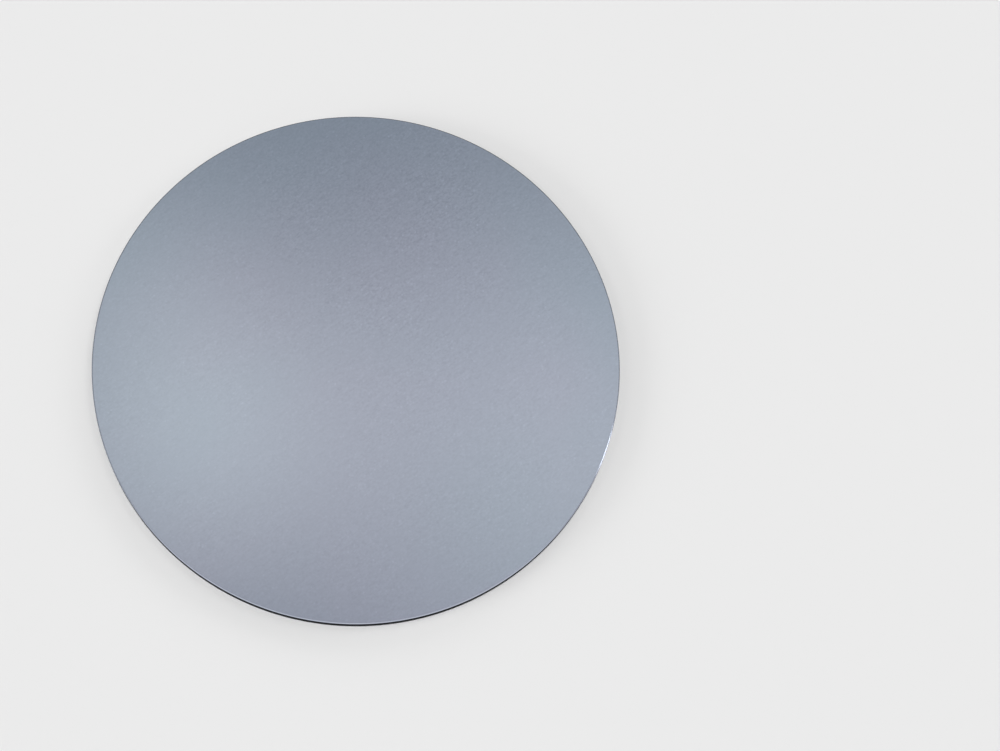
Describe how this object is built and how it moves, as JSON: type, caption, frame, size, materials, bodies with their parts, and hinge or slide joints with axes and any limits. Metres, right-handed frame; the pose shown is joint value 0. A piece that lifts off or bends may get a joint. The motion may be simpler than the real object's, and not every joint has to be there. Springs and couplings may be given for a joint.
{
  "type": "silicon sputtering target",
  "caption": "Flat round disc of solid ground silicon with a fine bevel round each face, clamped in a vacuum coater as the source of its film.",
  "frame": {"origin": "centre of the back face, which lies on the surface that the disc rests on", "axes": "+Z along the disc's axis, from the back face to the sputter face"},
  "size_m": [0.1524, 0.1524, 0.004],
  "materials": {
    "silicon": "satin"
  },
  "bodies": {
    "root": {"target_disc": "silicon"}
  },
  "joints": []
}
